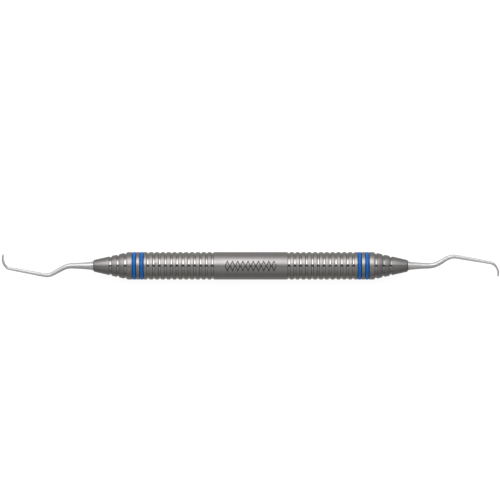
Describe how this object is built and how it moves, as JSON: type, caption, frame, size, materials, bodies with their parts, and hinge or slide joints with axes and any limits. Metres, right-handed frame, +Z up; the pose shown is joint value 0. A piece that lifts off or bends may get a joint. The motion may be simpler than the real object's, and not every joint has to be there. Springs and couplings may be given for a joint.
{
  "type": "hand scaler",
  "caption": "Double-ended hand scaler with curette blades on bent shanks, a ribbed hollow steel handle, tapered end cones and turnable silicone colour rings.",
  "frame": {"origin": "middle of the handle, on its axis", "axes": "+X along the handle's axis towards the right working end, +Z up when the scaler lies on a table, shanks bent in the XY plane; left toe points to +Y, right toe to -Y"},
  "size_m": [0.1738, 0.0098, 0.0098],
  "materials": {
    "satin_steel": "satin, turned round the axis",
    "cone_steel": "satin, slightly darker than the handle",
    "polished_steel": "polished shank, fine-ground blade",
    "blue_silicone": "smooth, slightly shiny"
  },
  "bodies": {
    "instrument": {"handle_tube": "satin_steel", "left_end_cone": "cone_steel", "right_end_cone": "cone_steel", "left_working_end": "polished_steel", "right_working_end": "polished_steel"},
    "left_outer_ring": {"left_outer_colour_ring": "blue_silicone"},
    "left_inner_ring": {"left_inner_colour_ring": "blue_silicone"},
    "right_inner_ring": {"right_inner_colour_ring": "blue_silicone"},
    "right_outer_ring": {"right_outer_colour_ring": "blue_silicone"}
  },
  "joints": [
    {"name": "left_outer_ring_turn", "type": "hinge", "parent": "instrument", "child": "left_outer_ring", "pos_m": [-0.04062, 0, 0], "axis": [1, 0, 0], "continuous": true},
    {"name": "left_inner_ring_turn", "type": "hinge", "parent": "instrument", "child": "left_inner_ring", "pos_m": [-0.03798, 0, 0], "axis": [1, 0, 0], "continuous": true},
    {"name": "right_inner_ring_turn", "type": "hinge", "parent": "instrument", "child": "right_inner_ring", "pos_m": [0.03798, 0, 0], "axis": [1, 0, 0], "continuous": true},
    {"name": "right_outer_ring_turn", "type": "hinge", "parent": "instrument", "child": "right_outer_ring", "pos_m": [0.04062, 0, 0], "axis": [1, 0, 0], "continuous": true}
  ]
}
